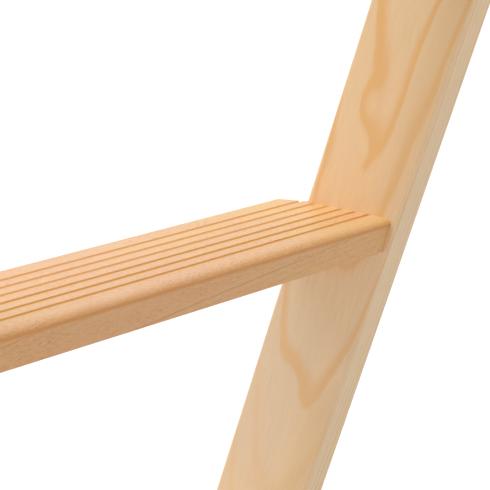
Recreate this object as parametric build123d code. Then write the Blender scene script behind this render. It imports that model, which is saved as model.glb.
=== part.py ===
"""Double-sided folding wooden stepladder.

Two identical halves, each with two pine stiles and grooved beech treads, are hinged at the top by steel
leaves and held open by folding steel stays. The halves are built standing open. X runs along the treads,
Y from the front half to the rear half, Z up, and the origin is on the floor under the hinge.
"""
import os
from math import cos, radians, sin, tan

from build123d import *

# Layout of the ladder, standing open (millimetres and degrees)
tread_count = 5
tread_rise = 250.0
hinge_above_top_tread = 100.0
lean = 19.0
taper = 2.0
inner_width_at_hinge = 320.0
half_gap = 4.0

# Stiles
stile_width = 63.5
stile_thickness = 20.0
stile_arris = 2.0
stile_top_round = 14.0
stile_top_clearance = 4.0

# Treads: a rounded nose on the inside, then a quirk and a bevelled face
tread_depth = 80.0
tread_thickness = 21.0
nose_setback = 5.4
nose_length = 6.5
nose_drop = 3.5
nose_quirk = 0.5
nose_bevel = 15.4
outer_round = 1.5
corner_clip = 8.3
groove_count = 6
groove_pitch = 10.0
groove_from_outer_edge = 14.0
groove_width = 2.6
groove_depth = 1.4
groove_ease = 0.3

# Housings that the treads sit in, and the screws through them
dado_depth = 6.0
dado_stop = 4.0
screw_radius = 2.5
screw_length = 55.0
screw_head_radius = 4.8
screw_head_depth = 2.6
screw_spacing = 34.0
screw_recess_width = 1.0
screw_recess_length = 5.0
screw_recess_depth = 1.4

# Tie rods under every second tread
tie_rod_radius = 3.0
tie_rod_below_tread = 10.0
tie_rod_every = 2

# Bolts, nuts and washers
bolt_radius = 3.0
bolt_head_radius = 8.0
bolt_head_height = 3.6
bolt_end = 1.5
nut_flats = 10.0
nut_height = 5.0
nut_chamfer = 0.7
cap_nut_dome = 4.5
washer_radius = 8.0
washer_thickness = 1.6
seat_depth = 0.9
seat_margin = 0.8

# Hinge leaves and pins
leaf_thickness = 4.0
leaf_width = 28.0
leaf_from_inside_edge = 7.0
leaf_length = 104.0
leaf_plate_start = 42.0
leaf_bend_start = 27.0
leaf_end_round = 9.0
eye_radius = 13.0
leaf_bolt_first = 58.0
leaf_bolt_pitch = 30.0
hinge_pin_radius = 5.0
hinge_pin_head_radius = 9.0
hinge_pin_head_height = 3.4

# Folding stays
stay_tread = 3
stay_above_tread = 110.0
stay_thickness = 4.0
stay_width = 20.0
stay_bolt_radius = 4.0
stay_nut_flats = 13.0
stay_nut_height = 6.5
stay_rivet_radius = 3.5
stay_rivet_head_radius = 7.0
stay_rivet_head_height = 2.6

# Feet
sole_thickness = 8.0
foot_wall = 3.0
foot_height = 48.0
foot_groove_count = 5
foot_groove_pitch = 13.0
foot_groove_width = 4.0
foot_groove_depth = 2.5

# Clearances
wood_clearance = 0.05
pin_clearance = 0.05
press_clearance = 0.01
side_play = 0.2
leaf_gap = 0.4
stay_gap = 0.4
foot_clearance = 0.2

# Worked-out values
hinge_height = tread_count * tread_rise + hinge_above_top_tread
lean_sin, lean_cos, lean_tan = sin(radians(lean)), cos(radians(lean)), tan(radians(lean))
taper_cos, taper_tan = cos(radians(taper)), tan(radians(taper))
outer_edge = half_gap + stile_width
leaf_inside = half_gap + leaf_from_inside_edge
leaf_outside = leaf_inside + leaf_width
leaf_middle = leaf_inside + leaf_width / 2
stile_middle = half_gap + stile_width / 2
outer_face_at_hinge = inner_width_at_hinge / 2 + stile_thickness / taper_cos
stile_top = hinge_height - hinge_pin_head_radius - stile_top_clearance
reach = 2 * hinge_height

# Turns of a piece that points up: out of the ladder's right side, or in from it
OUTWARD = Rot(0, 90, 0)
INWARD = Rot(0, -90, 0)

# half_frame: y out of the ladder from the hinge axis, z up along the half
# stile_frame: x out of the right stile's outer face, z up along the stile
half_frame = Pos(0, 0, hinge_height) * Rot(lean, 0, 0)
stile_frame = half_frame * Pos(outer_face_at_hinge, 0, 0) * Rot(0, -taper, 0)


def below_hinge(height, offset):
    """Distance down the half to a height, at an offset out from the hinge axis."""
    return (hinge_height - height + offset * lean_sin) / lean_cos


def up_stile(height, offset):
    """The same point's place along the stile's outer face."""
    return -below_hinge(height, offset) / taper_cos


def outer_face_x(down):
    """The right stile's outer face at a distance down the half."""
    return outer_face_at_hinge + down * taper_tan


def inside_edge_y(height):
    """Where the stiles' inside edges are at a height."""
    return (hinge_height - height) * lean_tan + half_gap / lean_cos


def tread_top(number):
    return number * tread_rise


def mirrored(shape):
    return mirror(shape, about=Plane.YZ)


def group(shapes):
    return Compound(children=[solid for shape in shapes for solid in shape.solids()])


def bar_along_x(radius, start, end, y, z):
    return Pos((start + end) / 2, y, z) * Rot(0, 90, 0) * Cylinder(radius, end - start)


def side_plate(points, start, end):
    """Plate with a (y, z) outline, between two places along x."""
    outline = make_face(Polyline(*points, close=True))
    return extrude(Plane.YZ.offset(start) * outline, amount=end - start)


def ring(radius, bore, height):
    return extrude(Circle(radius) - Circle(bore), amount=height)


def hex_nut(flats, height, bore):
    """Hexagon with its corners chamfered at both ends, and a bore."""
    hexagon = extrude(RegularPolygon(flats / 2, 6, major_radius=False), amount=height)
    turned = Pos(0, 0, height / 2) * chamfer(Cylinder(flats / 3**0.5, height).edges(), nut_chamfer)
    return (hexagon & turned) - Pos(0, 0, height / 2) * Cylinder(bore, height)


def domed_head(radius, height):
    """Spherical cap standing on the plane z = 0."""
    sphere_radius = (radius**2 + height**2) / (2 * height)
    ball = Pos(0, 0, height - sphere_radius) * Sphere(sphere_radius)
    return ball & Pos(0, 0, height / 2) * Cylinder(radius, height)


def cap_nut(flats, height, dome, bore):
    """Nut closed by a dome, with a blind bore."""
    return hex_nut(flats, height, bore) + Pos(0, 0, height) * domed_head(dome, dome)


def washer_and_nut(flats, height, bore):
    """Washer standing on the plane z = 0, with a nut on it."""
    nut = Pos(0, 0, washer_thickness) * hex_nut(flats, height, bore)
    return ring(washer_radius, bore, washer_thickness) + nut


# Stiles

def stile():
    """Right stile: level at top and bottom, its outer top corner rounded and every arris eased."""
    corners = [(half_gap, up_stile(stile_top, half_gap)), (outer_edge, up_stile(stile_top, outer_edge)),
               (outer_edge, up_stile(sole_thickness, outer_edge)), (half_gap, up_stile(sole_thickness, half_gap))]
    outline = make_face(Polyline(*corners, close=True))
    top_corner = outline.vertices().sort_by_distance(corners[1])[0]
    outline = fillet(top_corner, stile_top_round)
    board = extrude(Plane.YZ * outline, amount=-stile_thickness)
    faces = board.faces().sort_by(Axis.X)
    return stile_frame * fillet(faces[0].edges() + faces[-1].edges(), stile_arris)


def screw_places(number):
    """The two screws in a tread's right end, in the stile's frame."""
    height = tread_top(number) - tread_thickness / 2
    for offset in (stile_middle - screw_spacing / 2, stile_middle + screw_spacing / 2):
        yield offset, up_stile(height, offset)


def screw_shape(clearance):
    """Countersunk wood screw pointing inwards, its head level with x = 0."""
    head = Cone(screw_head_radius + clearance, screw_radius + clearance, screw_head_depth)
    shank = Cylinder(screw_radius + clearance, screw_length)
    return INWARD * (Pos(0, 0, screw_head_depth / 2) * head + Pos(0, 0, screw_length / 2) * shank)


def tread_screw():
    cross = Box(screw_recess_width, screw_recess_length, 2 * screw_recess_depth)
    cross += Box(screw_recess_length, screw_recess_width, 2 * screw_recess_depth)
    return screw_shape(0) - INWARD * cross


# Treads

def tread_blank(number):
    """Tread without grooves: its section along x, cut to sit in the housings and clear the stiles' edges."""
    top = tread_top(number)
    bottom = top - tread_thickness
    nose = inside_edge_y(top) + nose_setback
    back = nose + tread_depth
    arc_end = top - nose_drop
    face_top = nose + nose_quirk
    face_bottom = face_top + (arc_end - bottom) * tan(radians(nose_bevel))
    edges = Polyline((nose + nose_length, top), (back, top), (back, bottom), (face_bottom, bottom),
                     (face_top, arc_end), (nose, arc_end))
    edges += EllipticalCenterArc((nose + nose_length, arc_end), nose_length, nose_drop, 90, arc_size=90)
    section = make_face(edges)
    section = fillet(section.vertices().group_by(Axis.X)[-1], outer_round)
    blank = extrude(Plane.YZ * section, amount=reach, both=True)

    housing_floor = dado_depth - stile_thickness
    end_cut = Pos(housing_floor + reach, 0, 0) * Box(2 * reach, 2 * reach, 2 * reach)
    overhang = (back - inside_edge_y(top)) * lean_cos - stile_width
    clip_slope = corner_clip / overhang
    clip_start = stile_arris - stile_thickness
    corner = make_face(Polyline(
        (-stile_thickness, outer_edge - dado_stop), (-stile_thickness, outer_edge), (clip_start, outer_edge),
        (clip_start - clip_slope * tread_depth, outer_edge + tread_depth),
        (reach, outer_edge + tread_depth), (reach, outer_edge - dado_stop), close=True))
    corner_cut = extrude(corner, amount=reach, both=True)
    ends = [stile_frame * end_cut, stile_frame * corner_cut]
    return blank - ends - [mirrored(cut) for cut in ends]


def groove_section():
    """A groove's section, its bottom half an ellipse and its edges eased, open upwards from the tread's top."""
    wall = groove_width / 2
    shoulder = wall + groove_ease
    across = groove_ease * cos(radians(45))
    edges = Polyline((shoulder, 0), (shoulder, groove_depth), (-shoulder, groove_depth), (-shoulder, 0))
    for side in (1, -1):
        middle = (side * (shoulder - across), across - groove_ease)
        edges += ThreePointArc((side * shoulder, 0), middle, (side * wall, -groove_ease))
    edges += EllipticalCenterArc((0, -groove_ease), wall, groove_depth - groove_ease, 180, arc_size=180)
    return make_face(edges)


def grooves(number):
    """Grooves in a tread's top, from stile to stile, or through the clipped corners beyond the stiles."""
    top = tread_top(number)
    first = inside_edge_y(top) + nose_setback + tread_depth - groove_from_outer_edge
    section = groove_section()
    in_stile = Pos(reach - stile_thickness, outer_edge - reach, 0) * Box(2 * reach, 2 * reach, 2 * reach)
    in_stile = stile_frame * in_stile
    places = [Pos(first - i * groove_pitch, top) for i in range(groove_count)]
    cutters = [extrude(Plane.YZ * place * section, amount=reach, both=True) for place in places]
    return [cutter - in_stile - mirrored(in_stile) for cutter in cutters]


# Tie rods

rodded_treads = range(1, tread_count + 1, tie_rod_every)


def tie_rod_place(number):
    """Distance down the half of the tie rod under a tread, in the middle of the stiles."""
    return below_hinge(tread_top(number) - tread_thickness - tie_rod_below_tread, stile_middle)


def tie_rod_seat(number):
    """Where the spot face for the tie rod's washer is, on the right."""
    return outer_face_x(tie_rod_place(number)) - seat_depth


# Hinge leaves

def tangent_point(point, radius, side):
    """Where the line from a point touches a circle round the origin, on its left (+1) or right (-1)."""
    away = Vector(*point)
    turn = side * 90 - side * Vector(radius, 0).get_angle(Vector((away.length**2 - radius**2)**0.5, radius))
    touching = away.normalized().rotate(Axis.Z, turn) * radius
    return touching.X, touching.Y


def hinge_leaf(eye_shift, bore):
    """Cranked strip: a plate on the stile's outer face, then an eye round the hinge axis in its own plane."""
    left = (leaf_inside, -leaf_plate_start)
    right = (leaf_outside, -leaf_plate_start)
    plate = make_face(Polyline(left, right, (leaf_outside, -leaf_length), (leaf_inside, -leaf_length),
                               close=True))
    plate = fillet(plate.vertices().group_by(Axis.Y)[0], leaf_end_round)
    neck = make_face(Polyline((0, 0), tangent_point(left, eye_radius, -1), left, right,
                              tangent_point(right, eye_radius, 1), close=True))
    outline = Plane.YZ * (plate + neck + Circle(eye_radius) - Circle(bore))
    eye_x = outer_face_x(leaf_plate_start) + eye_shift
    strip = [(outer_face_x(leaf_length), -leaf_length), (outer_face_x(leaf_plate_start), -leaf_plate_start),
             (eye_x, -leaf_bend_start), (eye_x, eye_radius)]
    outer_side = [(x + leaf_thickness, z) for x, z in reversed(strip)]
    bent = extrude(Plane.XZ * make_face(Polyline(*strip, *outer_side, close=True)), amount=reach, both=True)
    leaf = half_frame * (extrude(outline, amount=reach) & bent)
    for place in leaf_bolt_places():
        leaf -= stile_frame * bar_along_x(bolt_radius + press_clearance, 0, leaf_length, leaf_middle, place)
    return leaf


def leaf_bolt_places():
    """The leaf's bolts, along the stile."""
    return [-leaf_bolt_first, -leaf_bolt_first - leaf_bolt_pitch]


def leaf_bolt():
    """Coach bolt through leaf and stile, pointing inwards from the leaf's outer side."""
    grip = leaf_thickness + stile_thickness + washer_thickness + nut_height + bolt_end
    head = domed_head(bolt_head_radius, bolt_head_height)
    return OUTWARD * (head + Pos(0, 0, -grip / 2) * Cylinder(bolt_radius, grip))


def hinge_pin():
    """Rivet through both leaves' eyes, with a head on either side."""
    grip = 2 * leaf_thickness + leaf_gap + 2 * side_play
    head = domed_head(hinge_pin_head_radius, hinge_pin_head_height)
    rivet = Pos(0, 0, grip / 2) * Cylinder(hinge_pin_radius, grip)
    rivet += Pos(0, 0, grip) * head + Rot(180, 0, 0) * head
    return half_frame * Pos(outer_face_x(leaf_plate_start) - side_play, 0, 0) * OUTWARD * rivet


# Folding stays, level when the ladder is open, one bar from each half

stay_height = tread_top(stay_tread) + stay_above_tread
stay_down = below_hinge(stay_height, stile_middle)
stay_reach = (hinge_height - stay_height) * lean_tan + stile_middle / lean_cos
stay_seat = outer_face_x(stay_down) - seat_depth
stay_inner_seat = outer_face_x(stay_down) - stile_thickness / taper_cos + seat_depth
stay_pivot = half_frame * Pos(0, stile_middle, -stay_down)
low_stay = washer_thickness
high_stay = low_stay + stay_thickness + stay_gap


def stay_bar(lift):
    """Flat bar from the stile's pivot to the middle of the ladder."""
    outline = SlotCenterToCenter(stay_reach, stay_width)
    outline -= Pos(stay_reach / 2, 0) * Circle(stay_bolt_radius + pin_clearance)
    outline -= Pos(-stay_reach / 2, 0) * Circle(stay_rivet_radius + press_clearance)
    start = stay_seat + lift + side_play
    return Plane.YZ.offset(start) * Pos(stay_reach / 2, stay_height) * extrude(outline, amount=stay_thickness)


def stay_rivet(lift, turn):
    """The rivet's half in one bar, with its head on the side that faces away from the other bar."""
    middle = stay_seat + lift + side_play + stay_thickness / 2
    head = Pos(0, 0, stay_thickness / 2) * domed_head(stay_rivet_head_radius, stay_rivet_head_height)
    return Pos(middle, 0, stay_height) * turn * (head + Cylinder(stay_rivet_radius, stay_thickness))


def stay_spacer(lift):
    spacer = ring(washer_radius, stay_bolt_radius + press_clearance, lift)
    return stay_pivot * Pos(stay_seat, 0, 0) * OUTWARD * spacer


def stay_bolt(lift):
    """Bolt that the stay turns on, from its head outside to its end inside the stile."""
    under_head = stay_seat + lift + stay_thickness + 2 * side_play
    grip = under_head - stay_inner_seat + washer_thickness + stay_nut_height + bolt_end
    head = domed_head(bolt_head_radius, bolt_head_height)
    shank = Pos(0, 0, -grip / 2) * Cylinder(stay_bolt_radius, grip)
    return stay_pivot * Pos(under_head, 0, 0) * OUTWARD * (head + shank)


def stay_nut():
    """Washer and nut on the stile's inner side."""
    nut = washer_and_nut(stay_nut_flats, stay_nut_height, stay_bolt_radius + press_clearance)
    return stay_pivot * Pos(stay_inner_seat, 0, 0) * INWARD * nut


# Feet

def foot():
    """Rubber shoe over the stile's end, flat and grooved underneath."""
    wall = foot_wall + foot_clearance
    inside, outside = half_gap - wall, outer_edge + wall
    rim = up_stile(foot_height, stile_middle)
    below = [(v, up_stile(-sole_thickness, v)) for v in (outside, inside)]
    shoe = side_plate([(inside, rim), (outside, rim), *below], -stile_thickness - wall, wall)
    shoe = fillet(shoe.edges().filter_by(Axis.Z), foot_wall)
    hollow_inside, hollow_outside = half_gap - foot_clearance, outer_edge + foot_clearance
    hollow_bottom = [(v, up_stile(sole_thickness, v)) for v in (hollow_outside, hollow_inside)]
    hollow = side_plate([(hollow_inside, 0), (hollow_outside, 0), *hollow_bottom],
                        -stile_thickness - foot_clearance, foot_clearance)
    above_floor = Pos(0, 0, reach / 2) * Box(2 * reach, 2 * reach, reach)
    shape = (stile_frame * (shoe - hollow)) & above_floor
    middle = inside_edge_y(0) + stile_width / lean_cos / 2
    first = middle - (foot_groove_count - 1) / 2 * foot_groove_pitch
    for i in range(foot_groove_count):
        groove = Box(2 * reach, foot_groove_width, 2 * foot_groove_depth)
        shape -= Pos(0, first + i * foot_groove_pitch, 0) * groove
    return shape


# One half, standing open at the rear

def build_half():
    blanks = {number: tread_blank(number) for number in range(1, tread_count + 1)}
    board = stile() - list(blanks.values())
    hole = screw_shape(wood_clearance)
    screw_holes = {number: [stile_frame * Pos(0, v, w) * hole for v, w in screw_places(number)]
                   for number in blanks}
    seat_radius = washer_radius + seat_margin
    for number in blanks:
        board -= screw_holes[number]
    for number in rodded_treads:
        place, seat = tie_rod_place(number), tie_rod_seat(number)
        board -= half_frame * bar_along_x(tie_rod_radius + wood_clearance, 0, reach, stile_middle, -place)
        board -= half_frame * bar_along_x(seat_radius, seat, reach, stile_middle, -place)
    for place in leaf_bolt_places():
        board -= stile_frame * bar_along_x(bolt_radius + wood_clearance, -reach, reach, leaf_middle, place)
    board -= stay_pivot * bar_along_x(stay_bolt_radius + wood_clearance, 0, reach, 0, 0)
    board -= stay_pivot * bar_along_x(seat_radius, stay_seat, reach, 0, 0)
    board -= stay_pivot * bar_along_x(seat_radius, 0, stay_inner_seat, 0, 0)

    half = {"stile_right": board, "stile_left": mirrored(board)}
    for number, blank in blanks.items():
        holes = screw_holes[number]
        half[f"tread_{number}"] = blank - grooves(number) - holes - [mirrored(one) for one in holes]
    screw_spots = [spot for number in blanks for spot in screw_places(number)]
    screws = group([stile_frame * Pos(0, v, w) * tread_screw() for v, w in screw_spots])
    half["tread_screws_right"] = screws
    half["tread_screws_left"] = mirrored(screws)

    washers, nuts = [], []
    for number in rodded_treads:
        axis = half_frame * Pos(0, stile_middle, -tie_rod_place(number))
        seat = tie_rod_seat(number)
        rod_end = seat + washer_thickness + nut_height
        half[f"tie_rod_{number}"] = axis * bar_along_x(tie_rod_radius, -rod_end, rod_end, 0, 0)
        bore = tie_rod_radius + press_clearance
        on_seat = axis * Pos(seat, 0, 0) * OUTWARD
        washer = on_seat * ring(washer_radius, bore, washer_thickness)
        nut = on_seat * Pos(0, 0, washer_thickness) * cap_nut(nut_flats, nut_height, cap_nut_dome, bore)
        washers += [washer, mirrored(washer)]
        nuts += [nut, mirrored(nut)]
    half["tie_rod_washers"] = group(washers)
    half["tie_rod_nuts"] = group(nuts)

    half["hinge_leaf_right"] = hinge_leaf(0, hinge_pin_radius + press_clearance)
    eye_lift = leaf_thickness + leaf_gap
    half["hinge_leaf_left"] = mirrored(hinge_leaf(eye_lift, hinge_pin_radius + pin_clearance))
    bolts, nuts = [], []
    nut = washer_and_nut(nut_flats, nut_height, bolt_radius + press_clearance)
    for place in leaf_bolt_places():
        bolt = stile_frame * Pos(leaf_thickness, leaf_middle, place) * leaf_bolt()
        fixed = stile_frame * Pos(-stile_thickness, leaf_middle, place) * INWARD * nut
        bolts += [bolt, mirrored(bolt)]
        nuts += [fixed, mirrored(fixed)]
    half["leaf_bolts"] = group(bolts)
    half["leaf_nuts"] = group(nuts)

    half["stay_right"] = stay_bar(low_stay)
    half["stay_left"] = mirrored(stay_bar(high_stay))
    half["stay_rivet_right"] = stay_rivet(low_stay, INWARD)
    half["stay_rivet_left"] = mirrored(stay_rivet(high_stay, OUTWARD))
    half["stay_spacers"] = group([stay_spacer(low_stay), mirrored(stay_spacer(high_stay))])
    half["stay_bolts"] = group([stay_bolt(low_stay), mirrored(stay_bolt(high_stay))])
    half["stay_nuts"] = group([stay_nut(), mirrored(stay_nut())])

    half["foot_right"] = foot()
    half["foot_left"] = mirrored(foot())
    half["hinge_pin_right"] = hinge_pin()
    return half


def turned_name(name):
    """A piece's name once its half is turned round to the front."""
    if name.endswith("_right"):
        return name.removesuffix("right") + "left"
    return name.replace("_left", "_right")


os.makedirs("parts", exist_ok=True)
for name, shape in build_half().items():
    export_step(shape, f"parts/rear_{name}.step")
    export_step(Rot(0, 0, 180) * shape, f"parts/front_{turned_name(name)}.step")
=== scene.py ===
"""Looks of the double-sided folding stepladder: pine stiles, beech treads, plated steel and rubber shoes.

Metres, in the ladder's own frame. Every piece is a CAD node; this script gives each one its finish, and sets
up the floor, the light and the camera. Lengths within a finish are in millimetres.
"""
import math

import bpy
import numpy as np
from mathutils import Matrix, Vector


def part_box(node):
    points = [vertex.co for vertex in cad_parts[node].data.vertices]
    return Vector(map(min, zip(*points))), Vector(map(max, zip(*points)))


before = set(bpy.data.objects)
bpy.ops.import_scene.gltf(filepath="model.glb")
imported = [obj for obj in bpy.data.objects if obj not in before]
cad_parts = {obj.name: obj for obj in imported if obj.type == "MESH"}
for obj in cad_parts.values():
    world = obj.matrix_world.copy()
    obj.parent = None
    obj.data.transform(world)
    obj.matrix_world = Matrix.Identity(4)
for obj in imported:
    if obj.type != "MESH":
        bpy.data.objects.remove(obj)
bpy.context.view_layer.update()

MM = 0.001
WHITE = (1.0, 1.0, 1.0, 1.0)

# Names of the pieces
HALVES = ("rear", "front")
SIDES = ("left", "right")
TREADS = 5
STEEL_FITTINGS = ("screws", "tie_rod", "bolts", "nuts", "washers", "spacers", "pin", "rivet")
PHOTO_STILE = "rear_stile_right"
PHOTO_TREAD = "rear_tread_2"

# Cosines past which two directions count as parallel, or as square
PARALLEL = 0.99999
SQUARE = 0.001

# Growth rings: the wave along a log, and how far the rings wander
SWAY_LENGTH = 400
SWAY_TURN = 2 * math.pi / SWAY_LENGTH
SWAY_HEIGHT = 2.2
BROAD_WANDER = 3.2
FINE_WANDER = 1.2

# In the pairs below, a tone begins at the first place and is full at the second

# Stiles: heartwood by distance from the pith, which reaches further out on the wave's crests
HEART_EDGE = (104, 96)
HEART_REACH = 4.0

# Stiles: painted shade by place across the board from its middle, away from the hinge; the grey painted shade
# lags behind the wave
GREY_SHADE_ACROSS = (-20, 4)
GREY_SHADE_LAG = 290
DULL_SHADE_ACROSS = (-3, -24)
FACE_HALF = 30.5

# Treads: places in from the outer edge
GROOVE_PITCH = 10.0
FIRST_TINTED_GROOVE = 14.6
LACQUER_DEEPENS = (34, 46)
GROOVES_START = 11.0
GROOVES_END = 67.0
NOSE_START = 72.0

# Treads: places down from the top
SHEEN_DEPTH = (1.8, 0.05)
GROOVES_DEPTH = 2.4
GROOVE_WALL = (0.15, 0.6)
LATE_WOOD_SHOWS = (2, 6)
NOSE_SHADE_UPPER_EDGE = (1.8, 3.4)
NOSE_SHADE_LOWER_EDGE = (5.6, 4.0)

# Swellings by chance, as (across, along, half width, half length, height)
SWELLING_COUNT = 9
SWELLING_LEAST = (-20, -600, 8, 20, -1.5)
SWELLING_MOST = (20, 600, 18, 60, 1.5)

# Wood of the stile and the tread in the photo
PHOTO_SWELLINGS = ((-8, 58, 14, 68, -1.3), (7, 59, 15, 23, -1.3), (-1, 22, 6, 13, -0.7),
                   (-1, -45, 22, 39, 1.1), (5, -124, 18, 43, 1.5), (-38, 61, 12, 57, -1.1),
                   (-21, 98, 8, 114, 1.1), (24, -12, 8, 41, -1.5))
PHOTO_PINE = {"pith": (-110, 2.2, -172), "slope": (0.0452, 0.0376), "pitch": 4.3, "start": 128.96,
              "sway": 139, "wander": 0.3, "swellings": PHOTO_SWELLINGS}
PHOTO_BEECH = {"pith": (75, -70, 0), "slope": (0.0, -0.1), "start": 25.0, "sway": -185}

# Turns a tread's frame so that z runs along the tread, as the grain does
GRAIN_ALONG_TREAD = Matrix(((0, 0, 1), (1, 0, 0), (0, 1, 0))).to_4x4()


# Colours and node trees

def tint(red, green, blue):
    """Linear colour, with alpha, of a display colour written from 0 to 255."""
    display = np.array([red, green, blue]) / 255
    linear = np.where(display <= 0.04045, display / 12.92, ((display + 0.055) / 1.055) ** 2.4)
    return (*linear, 1.0)


class Nodes:
    """A node tree. Each method that makes a value adds a node for it and returns the node's output."""

    def __init__(self, tree):
        self.tree = tree

    def set(self, socket, value):
        """Links a socket to another node's output, or gives it a plain value."""
        if isinstance(value, bpy.types.NodeSocket):
            self.tree.links.new(value, socket)
        else:
            socket.default_value = value

    def add(self, kind, inputs, output=0, **settings):
        """A node of any kind, with its settings and its inputs."""
        node = self.tree.nodes.new(kind)
        for key, value in settings.items():
            setattr(node, key, value)
        for key, value in inputs.items():
            self.set(node.inputs[key], value)
        return node.outputs[output]

    def place(self, matrix):
        """Object coordinates in millimetres in a frame of the piece's own, given as a matrix in metres."""
        point = self.add("ShaderNodeTexCoord", {}, "Object")
        turn = matrix.to_3x3().to_euler()
        inputs = {"Vector": point, "Location": matrix.translation, "Rotation": turn, "Scale": (MM, MM, MM)}
        return self.add("ShaderNodeMapping", inputs, vector_type="TEXTURE")

    def axis(self, vector, letter):
        return self.add("ShaderNodeSeparateXYZ", {0: vector}, letter)

    def stretch(self, vector, scale):
        return self.add("ShaderNodeVectorMath", {0: vector, 1: scale}, operation="MULTIPLY")

    def length(self, vector):
        return self.add("ShaderNodeVectorMath", {0: vector}, "Value", operation="LENGTH")

    def math(self, operation, first, second=0.0, third=0.0):
        return self.add("ShaderNodeMath", {0: first, 1: second, 2: third}, operation=operation)

    def times(self, first, *others):
        """Product of all the values."""
        for other in others:
            first = self.math("MULTIPLY", first, other)
        return first

    def scaled(self, value, factor, offset):
        """The value times the factor, plus the offset."""
        return self.math("MULTIPLY_ADD", value, factor, offset)

    def above(self, value, limit):
        """1 where the value is above the limit, and 0 elsewhere."""
        return self.math("GREATER_THAN", value, limit)

    def below(self, value, limit):
        """1 where the value is below the limit, and 0 elsewhere."""
        return self.math("LESS_THAN", value, limit)

    def between(self, value, first, last, bottom=0.0, top=1.0):
        """Smooth step from bottom to top as the value goes from first to last, upwards or downwards."""
        inputs = {"Value": value, "From Min": first, "From Max": last, "To Min": bottom, "To Max": top}
        return self.add("ShaderNodeMapRange", inputs, interpolation_type="SMOOTHSTEP")

    def noise(self, vector, across, along, detail=2.0, roughness=0.5):
        """Noise from 0 to 1 whose features are about so many millimetres across and along z."""
        scaled = self.stretch(vector, (1 / across, 1 / across, 1 / along))
        inputs = {"Vector": scaled, "Scale": 1.0, "Detail": detail, "Roughness": roughness}
        return self.add("ShaderNodeTexNoise", inputs)

    def curve(self, value, stops):
        """Grey ramp through (place, level) stops."""
        node = self.tree.nodes.new("ShaderNodeValToRGB")
        ramp = node.color_ramp
        ramp.interpolation = "EASE"
        while len(ramp.elements) < len(stops):
            ramp.elements.new(1.0)
        for element, (at, level) in zip(ramp.elements, stops):
            element.position = at
            element.color = (level, level, level, 1.0)
        self.set(node.inputs[0], value)
        return node.outputs[0]

    def mix(self, factor, first, second, blend="MIX"):
        inputs = {0: factor, 6: first, 7: second}
        return self.add("ShaderNodeMix", inputs, 2, data_type="RGBA", blend_type=blend)

    def bump(self, height, depth):
        """Normal bent by a height from 0 to 1 that stands for so many millimetres."""
        return self.add("ShaderNodeBump", {"Strength": 1.0, "Distance": depth * MM, "Height": height})

    def seen_directly(self):
        """1 for a ray from the camera, a reflection or a clear piece, and 0 for one that gathers light."""
        path = self.add("ShaderNodeLightPath", {}).node.outputs
        seen = self.math("ADD", path["Is Camera Ray"], path["Is Glossy Ray"])
        return self.math("MINIMUM", self.math("ADD", seen, path["Is Transmission Ray"]), 1.0)


class Finish(Nodes):
    """A material, with the node tree that feeds its shader."""

    def __init__(self, name):
        self.material = bpy.data.materials.new(name)
        self.material.use_nodes = True
        super().__init__(self.material.node_tree)
        self.shader = self.tree.nodes["Principled BSDF"]

    def surface(self, **inputs):
        """Sets the shader's sockets, named with _ for a space."""
        for key, value in inputs.items():
            self.set(self.shader.inputs[key.replace("_", " ")], value)


# Frames of the pieces

def shared_direction(normal, area):
    """The normal that most of the area shares, with opposite sides counted as one."""
    alike = np.abs(normal @ normal.T) > PARALLEL
    return normal[np.argmax(alike @ area)]


def board_frame(node):
    """Frame in the middle of a straight bar or board: x through it, y across it, z along it.

    The broad faces give the direction through the board, and the largest faces square to them the direction
    across it, which points away from the hinge. The length is square to both and points up.
    """
    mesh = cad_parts[node].data
    mesh.calc_loop_triangles()
    count = len(mesh.loop_triangles)
    area, normal = np.empty(count), np.empty(3 * count)
    mesh.loop_triangles.foreach_get("area", area)
    mesh.loop_triangles.foreach_get("normal", normal)
    normal = normal.reshape(-1, 3)
    through = shared_direction(normal, area)
    narrow = np.abs(normal @ through) < SQUARE
    across = shared_direction(normal[narrow], area[narrow])
    low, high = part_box(node)
    across = across * math.copysign(1.0, across[1] * (low.y + high.y))
    along = np.cross(through, across)
    along = along * math.copysign(1.0, along[2])
    turn = np.stack([np.cross(across, along), across, along], axis=1)
    points = np.empty(3 * len(mesh.vertices))
    mesh.vertices.foreach_get("co", points)
    local = points.reshape(-1, 3) @ turn
    middle = turn @ (local.min(0) + local.max(0)) / 2
    return Matrix.Translation(middle) @ Matrix(turn.tolist()).to_4x4()


def tread_frame(node):
    """Frame on a tread's top: x along it, y in from its outer edge towards the nose, z up."""
    low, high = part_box(node)
    outer = high.y if high.y > 0 else low.y
    inward = -math.copysign(1.0, outer)
    turn = Matrix(((inward, 0, 0), (0, inward, 0), (0, 0, 1)))
    return Matrix.Translation((0, outer, high.z)) @ turn.to_4x4()


def log_frame(board, pith, slope):
    """Frame of the log that a board was cut from: z runs along the pith.

    pith is the pith's place in the board's frame, in millimetres, and slope how far it moves through and
    across the board for each millimetre along it.
    """
    along = Vector((*slope, 1.0)).normalized()
    through = (Vector((1, 0, 0)) - along * along.x).normalized()
    turn = Matrix((through, along.cross(through), along)).transposed()
    return board @ Matrix.Translation(Vector(pith) * MM) @ turn.to_4x4()


# Growth rings

def swelling(wood, point, across, along, half_width, half_length, height):
    """Smooth swelling or hollow of the trunk: highest at its place in the log, level with it at its edge."""
    offset = wood.add("ShaderNodeVectorMath", {0: point, 1: (0, across, along)}, operation="SUBTRACT")
    distance = wood.length(wood.stretch(offset, (0, 1 / half_width, 1 / half_length)))
    return wood.between(distance, 1, 0, top=height)


def wave_along(wood, point, crest):
    """Cosine wave along the log, from -1 to 1, with a crest at the given place."""
    return wood.math("COSINE", wood.scaled(wood.axis(point, "Z"), SWAY_TURN, -SWAY_TURN * crest))


def wandering(wood, point, across, along, span):
    """Noise about nought that spans so many millimetres."""
    return wood.scaled(wood.noise(point, across, along), span, -span / 2)


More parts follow.
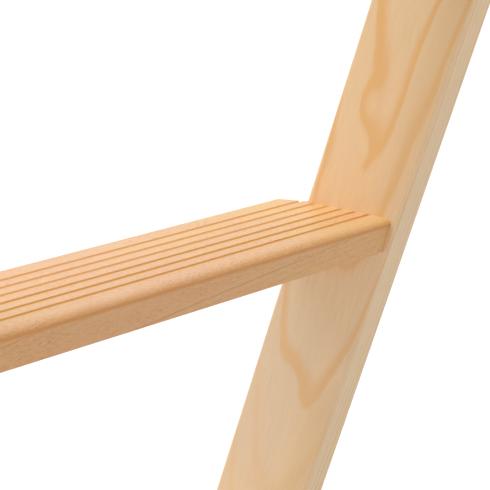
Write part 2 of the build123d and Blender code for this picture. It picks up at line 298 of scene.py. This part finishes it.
def growth_rings(wood, point, pitch, start, sway, wander, swellings=()):
    """Rings round the pith: (how late in its year the wood is, the year's strength, radius in mm, wave).

    The wave, from 0 to 1, runs along the log with its crest at sway. The radius is the distance from the pith
    plus the wave times its height, the swellings and noise. The ring number is the radius over the pitch, and
    its whole part is the year. A year's strength, from 0.25 to 1, is by chance.
    """
    wave = wood.scaled(wave_along(wood, point, sway), 0.5, 0.5)
    distance = wood.length(wood.stretch(point, (1, 1, 0)))
    broad = wandering(wood, point, 20, 60, BROAD_WANDER * wander)
    fine = wandering(wood, point, 5, 16, FINE_WANDER * wander)
    radius = wood.math("ADD", wood.scaled(wave, SWAY_HEIGHT, distance), wood.math("ADD", broad, fine))
    for values in swellings:
        radius = wood.math("ADD", radius, swelling(wood, point, *values))
    number = wood.scaled(radius, 1 / pitch, start)
    year = wood.add("ShaderNodeTexWhiteNoise", {"W": wood.math("FLOOR", number)}, noise_dimensions="1D")
    strength = wood.between(year, 0.15, 0.85, bottom=0.25)
    return wood.math("FRACT", number), strength, radius, wave


# Pine of the stiles

PINE_YEAR = ((0, 0.3), (0.05, 0), (0.62, 0), (0.86, 1), (0.95, 1), (1, 0.3))
PINE_PALE = tint(246, 219, 178)
PINE_COOL = tint(244, 216, 182)
PINE_HEART = tint(243, 207, 157)
# The grey tone is painted shade.
PINE_PAINTED_GREY_SHADE = tint(227, 205, 176)
PINE_LATE = tint(238, 180, 101)
# The dull tone is painted shade.
PINE_DULL_SHADE = tint(222, 187, 136)
PINE_STREAK = tint(232, 197, 152)
PINE_FIBRE = tint(222, 184, 138)


def pine(node, pith, slope, pitch, start, sway, wander, swellings):
    """Clear pine: pale early wood and amber late wood in rings round the pith, fine fibres along it.

    Near the pith the wood is deeper. On the broad faces painted shade makes it duller towards the inside edge
    on the wave's crests, and greyer towards the outer edge some way behind them.
    """
    wood = Finish(f"pine_{node}")
    board = board_frame(node)
    point = wood.place(log_frame(board, pith, slope))
    across = wood.axis(wood.place(board), "Y")
    season, strength, radius, wave = growth_rings(wood, point, pitch, start, sway, wander, swellings)
    late = wood.times(wood.curve(season, PINE_YEAR), wood.times(strength, wood.scaled(wave, 0.2, 0.5)))
    streak = wood.noise(point, across=1.6, along=120)
    fibre = wood.noise(point, across=0.5, along=25)
    cloud = wood.noise(point, across=40, along=160)
    heart = wood.scaled(wave, -HEART_REACH, radius)
    # Painted shade: greyer towards the outer edge, some way behind the wave's crests
    lagging = wave_along(wood, point, sway - GREY_SHADE_LAG)
    grey = wood.times(wood.between(across, *GREY_SHADE_ACROSS, top=0.5), wood.between(lagging, 0.0, 0.9),
                      wood.below(across, FACE_HALF))
    # Painted shade: duller towards the inside edge on the wave's crests
    dull = wood.times(wood.between(across, *DULL_SHADE_ACROSS, top=0.42), wood.between(wave, 0.05, 0.35),
                      wood.above(across, -FACE_HALF))
    colour = wood.mix(cloud, PINE_PALE, PINE_COOL)
    colour = wood.mix(wood.between(heart, *HEART_EDGE, top=0.6), colour, PINE_HEART)
    colour = wood.mix(grey, colour, PINE_PAINTED_GREY_SHADE)
    colour = wood.mix(late, colour, PINE_LATE)
    colour = wood.mix(dull, colour, PINE_DULL_SHADE)
    colour = wood.mix(wood.between(streak, 0.45, 0.7, top=0.22), colour, PINE_STREAK)
    colour = wood.mix(wood.between(fibre, 0.45, 0.8, top=0.22), colour, PINE_FIBRE)
    height = wood.scaled(late, 0.4, fibre)
    wood.surface(Base_Color=colour, Roughness=wood.between(fibre, 0.2, 0.8, bottom=0.4, top=0.56),
                 Normal=wood.bump(height, depth=0.06), Specular_IOR_Level=0.3)
    return wood.material


# Beech of the treads

BEECH_RINGS = {"pitch": 4.0, "wander": 0.5}
BEECH_YEAR = ((0, 0.5), (0.05, 0), (0.6, 0), (0.95, 1), (1, 0.5))
BEECH_ROSY = tint(231, 179, 128)
BEECH_GOLDEN = tint(230, 183, 113)
BEECH_CLOUD = tint(230, 184, 132)
BEECH_LATE = tint(194, 132, 70)
BEECH_FIBRE = tint(220, 164, 110)
BEECH_PATCH = tint(232, 176, 128)
BEECH_FLECK = tint(182, 122, 50)
BEECH_SHINE = tint(250, 214, 170)
# Painted light and shade of the treads: shade along the nose and beside the grooves, a sheen on the top, and
# on the groove walls lacquer with painted light and shade
BEECH_NOSE_SHADE = tint(222, 154, 82)
PAINTED_SHEEN_LIFT = (1.065, 1.17, 1.38, 1.0)
GROOVE_RIM_SHADE = tint(234, 180, 114)
PALE_LACQUER_AND_LIGHT = tint(252, 211, 152)
DEEP_LACQUER_AND_SHADE = tint(240, 192, 92)


def beech(node, pith, slope, start, sway):
    """Lacquered beech: faint rings, short dark flecks along the grain, and in the grooves a deeper lacquered
    tint that is partly painted light and shade, with painted shade on the ridges beside each groove.

    The top is paler than the rest as a painted sheen, and painted shade darkens a band along the foot of the
    nose.
    """
    wood = Finish(f"beech_{node}")
    top = tread_frame(node)
    point = wood.place(log_frame(top @ GRAIN_ALONG_TREAD, pith, slope))
    spot = wood.place(top)
    inward = wood.axis(spot, "Y")
    depth = wood.times(wood.axis(spot, "Z"), -1.0)
    season, strength, _, wave = growth_rings(wood, point, start=start, sway=sway, **BEECH_RINGS)
    late = wood.times(wood.curve(season, BEECH_YEAR), wood.between(strength, 0.5, 1, bottom=0.04, top=0.6),
                      wood.between(depth, *LATE_WOOD_SHOWS, bottom=0.15))
    fleck = wood.between(wood.noise(point, across=0.45, along=3.2, detail=1.0), 0.54, 0.68)
    patch = wood.between(wood.noise(point, across=18, along=70), 0.42, 0.58)
    shine = wood.between(wood.noise(point, across=0.7, along=5, detail=1.0), 0.58, 0.72)
    fibre = wood.noise(point, across=0.6, along=30)
    cloud = wood.noise(point, across=14, along=110)
    # Painted sheen: the top is paler than the rest
    painted_sheen = wood.between(depth, *SHEEN_DEPTH)
    beside = wood.math("PINGPONG", wood.math("SUBTRACT", inward, FIRST_TINTED_GROOVE), GROOVE_PITCH / 2)
    groove = wood.times(wood.between(beside, 3.4, 0.8), wood.below(depth, GROOVES_DEPTH),
                        wood.above(inward, GROOVES_START), wood.below(inward, GROOVES_END))
    wall = wood.times(groove, wood.between(depth, *GROOVE_WALL))
    # Groove walls: partly lacquer in the grooves, partly painted light and shade, paler towards the outer
    # edge and deeper amber towards the nose
    lacquer_light_and_shade = wood.mix(wood.between(inward, *LACQUER_DEEPENS), PALE_LACQUER_AND_LIGHT, DEEP_LACQUER_AND_SHADE)
    # Painted shade: a darker band along the foot of the rounded nose
    nose = wood.times(wood.between(depth, *NOSE_SHADE_UPPER_EDGE), wood.between(depth, *NOSE_SHADE_LOWER_EDGE),
                      wood.above(inward, NOSE_START))
    colour = wood.mix(wave, BEECH_ROSY, BEECH_GOLDEN)
    colour = wood.mix(wood.between(cloud, 0.35, 0.65, top=0.5), colour, BEECH_CLOUD)
    colour = wood.mix(late, colour, BEECH_LATE)
    colour = wood.mix(wood.between(fibre, 0.45, 0.8, top=0.2), colour, BEECH_FIBRE)
    colour = wood.mix(wood.times(patch, 0.4), colour, BEECH_PATCH)
    colour = wood.mix(wood.times(fleck, wood.scaled(patch, 0.3, 0.15)), colour, BEECH_FLECK)
    colour = wood.mix(wood.times(shine, 0.3), colour, BEECH_SHINE)
    colour = wood.mix(painted_sheen, colour, PAINTED_SHEEN_LIFT, "MULTIPLY")
    # Painted shade: amber on the ridges beside each groove and in it
    colour = wood.mix(wood.times(groove, 0.5), colour, GROOVE_RIM_SHADE)
    colour = wood.mix(wood.times(wall, 0.9), colour, lacquer_light_and_shade)
    colour = wood.mix(wood.times(nose, 0.8), colour, BEECH_NOSE_SHADE)
    height = wood.scaled(fleck, -0.3, fibre)
    wood.surface(Base_Color=colour, Roughness=wood.between(fibre, 0.2, 0.8, bottom=0.36, top=0.5),
                 Normal=wood.bump(height, depth=0.05), Specular_IOR_Level=0.3)
    return wood.material


# Steel and rubber

STRIP_DARK = tint(158, 162, 166)
STRIP_PALE = tint(184, 188, 191)
STRIP_DULL = tint(150, 152, 153)
ZINC_BRIGHT = tint(176, 182, 188)
ZINC_DULL = tint(152, 156, 160)
RUBBER_DARK = tint(38, 38, 40)
RUBBER_GREY = tint(52, 52, 53)
RUBBER_SCUFF = tint(108, 105, 100)
CRYSTALS_PER_MM = 0.3
SCUFF_HEIGHT = (22, 2)


def galvanised(node):
    """Galvanised strip: faint zinc crystals, dull clouds, and drawn lines along the bar."""
    steel = Finish(f"galvanised_{node}")
    point = steel.place(board_frame(node))
    drawn = steel.noise(point, across=0.35, along=45, detail=3)
    cloud = steel.noise(point, across=12, along=22, detail=4, roughness=0.6)
    cells = {"Vector": point, "Scale": CRYSTALS_PER_MM, "Randomness": 1.0}
    crystal = steel.add("ShaderNodeTexVoronoi", cells, "Color")
    grey = steel.add("ShaderNodeSeparateColor", {0: crystal})
    tone = steel.mix(steel.times(grey, 0.6), STRIP_DARK, STRIP_PALE)
    tone = steel.mix(steel.between(cloud, 0.35, 0.7, top=0.6), tone, STRIP_DULL)
    rough = steel.scaled(drawn, 0.14, steel.between(cloud, 0.3, 0.7, bottom=0.26, top=0.4))
    steel.surface(Base_Color=tone, Metallic=1.0, Roughness=rough, Normal=steel.bump(drawn, depth=0.015))
    return steel.material


def bright_zinc():
    """Bright zinc plating of the screws, bolts, nuts, rods and rivets: smooth, with a faint blue cast."""
    steel = Finish("bright_zinc")
    point = steel.place(Matrix.Identity(4))
    cloud = steel.noise(point, across=5, along=5, detail=4, roughness=0.6)
    turned = steel.noise(point, across=0.3, along=0.3)
    tone = steel.mix(steel.between(cloud, 0.3, 0.7), ZINC_BRIGHT, ZINC_DULL)
    rough = steel.scaled(turned, 0.12, steel.between(cloud, 0.3, 0.7, bottom=0.14, top=0.26))
    steel.surface(Base_Color=tone, Metallic=1.0, Roughness=rough, Normal=steel.bump(turned, depth=0.008))
    return steel.material


def black_rubber():
    """Black rubber of the shoes, with a moulded grain and paler scuffs low down."""
    shoe = Finish("black_rubber")
    point = shoe.place(Matrix.Identity(4))
    grain = shoe.noise(point, across=0.8, along=0.8, detail=3)
    scuff = shoe.noise(point, across=9, along=5, detail=5, roughness=0.65)
    low_down = shoe.between(shoe.axis(point, "Z"), *SCUFF_HEIGHT)
    worn = shoe.times(shoe.between(scuff, 0.5, 0.7), low_down)
    tone = shoe.mix(shoe.between(grain, 0.3, 0.7), RUBBER_DARK, RUBBER_GREY)
    tone = shoe.mix(shoe.times(worn, 0.6), tone, RUBBER_SCUFF)
    shoe.surface(Base_Color=tone, Roughness=shoe.between(scuff, 0.3, 0.7, bottom=0.6, top=0.8),
                 Normal=shoe.bump(grain, depth=0.08))
    return shoe.material


# Dressing the nodes

def chance_pine(draw):
    """A stile's place in its log, and the log's rings, by chance."""
    return {
        "pith": (draw.choice((-1, 1)) * draw.uniform(70, 130), draw.uniform(-12, 12), 0),
        "slope": (draw.uniform(0.025, 0.045), draw.uniform(-0.03, 0.03)),
        "pitch": draw.uniform(3.0, 4.2),
        "start": draw.uniform(0, 9),
        "sway": draw.uniform(0, SWAY_LENGTH),
        "wander": draw.uniform(0.4, 0.8),
        "swellings": draw.uniform(SWELLING_LEAST, SWELLING_MOST, (SWELLING_COUNT, 5)).tolist(),
    }


def chance_beech(draw):
    """A tread's place in its log, and the log's rings, by chance."""
    return {
        "pith": (draw.uniform(-90, 90), draw.choice((-1, 1)) * draw.uniform(40, 80), 0),
        "slope": (draw.uniform(-0.03, 0.03), draw.uniform(-0.05, 0.05)),
        "start": draw.uniform(0, 9),
        "sway": draw.uniform(0, SWAY_LENGTH),
    }


def dress(node, material):
    """The node's only material."""
    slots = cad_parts[node].data.materials
    slots.clear()
    slots.append(material)


def dress_half(half, draw):
    """Wood and strip steel of one half, each board from its own place in its own log."""
    for side in SIDES:
        stile = f"{half}_stile_{side}"
        cut = chance_pine(draw)
        if stile == PHOTO_STILE:
            cut = PHOTO_PINE
        dress(stile, pine(stile, **cut))
    for number in range(1, TREADS + 1):
        tread = f"{half}_tread_{number}"
        cut = chance_beech(draw)
        if tread == PHOTO_TREAD:
            cut = PHOTO_BEECH
        dress(tread, beech(tread, **cut))
    for side in SIDES:
        for bar in (f"{half}_stay_{side}", f"{half}_hinge_leaf_{side}"):
            dress(bar, galvanised(bar))


draw = np.random.default_rng(seed=5)
for half in HALVES:
    dress_half(half, draw)
rubber = black_rubber()
zinc = bright_zinc()
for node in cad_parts:
    if "foot" in node:
        dress(node, rubber)
    elif any(word in node for word in STEEL_FITTINGS):
        dress(node, zinc)


# Floor, light and camera

FLOOR_HALF = 60.0
FLOOR_GREY = (0.7, 0.7, 0.7, 1.0)
FLOOR_GLOW = 0.36
SKY_LIGHT = 0.62
LAMP_LIGHT = 1.65
LAMP_SPREAD = math.radians(50)
LAMP_FALLS = Vector((0.45, -0.2, -1.0))
PHOTO_EYE = Vector((-0.7335, -0.3108, 0.7613))
PHOTO_LOOK = Vector((0.76505, 0.59565, -0.24476))
PHOTO_ROLL = math.radians(1.58)
PHOTO_LENS = 143.8


def in_scene(name, data):
    """A new object of the scene."""
    item = bpy.data.objects.new(name, data)
    bpy.context.scene.collection.objects.link(item)
    return item


def pale_floor():
    """Square floor, near white to the camera, that keeps the ladder's shadow."""
    corners = [(x * FLOOR_HALF, y * FLOOR_HALF, 0) for x, y in ((-1, -1), (1, -1), (1, 1), (-1, 1))]
    mesh = bpy.data.meshes.new("floor")
    mesh.from_pydata(corners, [], [(0, 1, 2, 3)])
    paint = Finish("floor")
    glow = paint.times(paint.seen_directly(), FLOOR_GLOW)
    paint.surface(Base_Color=FLOOR_GREY, Roughness=1.0, Specular_IOR_Level=0.0)
    paint.surface(Emission_Color=WHITE, Emission_Strength=glow)
    mesh.materials.append(paint.material)
    floor = in_scene("floor", mesh)


def soft_light():
    """An even sky, white to the camera, and one large lamp overhead."""
    world = bpy.data.worlds.new("sky")
    bpy.context.scene.world = world
    world.use_nodes = True
    sky = Nodes(world.node_tree)
    levels = {"Value": sky.seen_directly(), "To Min": SKY_LIGHT, "To Max": 1.0}
    background = world.node_tree.nodes["Background"]
    sky.set(background.inputs["Color"], WHITE)
    sky.set(background.inputs["Strength"], sky.add("ShaderNodeMapRange", levels))
    lamp = bpy.data.lights.new("overhead", "SUN")
    lamp.angle = LAMP_SPREAD
    lamp.energy = LAMP_LIGHT
    holder = in_scene("overhead", lamp)
    holder.rotation_euler = LAMP_FALLS.to_track_quat("-Z", "Y").to_euler()


def photo_camera():
    """The photo's pinhole: where it stands, where it looks, how far it is rolled and its lens."""
    data = bpy.data.cameras.new("camera")
    data.lens = PHOTO_LENS
    data.sensor_width = 36.0
    data.clip_start = 0.05
    data.clip_end = 200.0
    camera = in_scene("camera", data)
    turn = PHOTO_LOOK.to_track_quat("-Z", "Y").to_matrix() @ Matrix.Rotation(PHOTO_ROLL, 3, "Z")
    camera.matrix_world = Matrix.Translation(PHOTO_EYE) @ turn.to_4x4()
    bpy.context.scene.camera = camera


pale_floor()
soft_light()
photo_camera()
bpy.context.scene.view_settings.view_transform = "Standard"
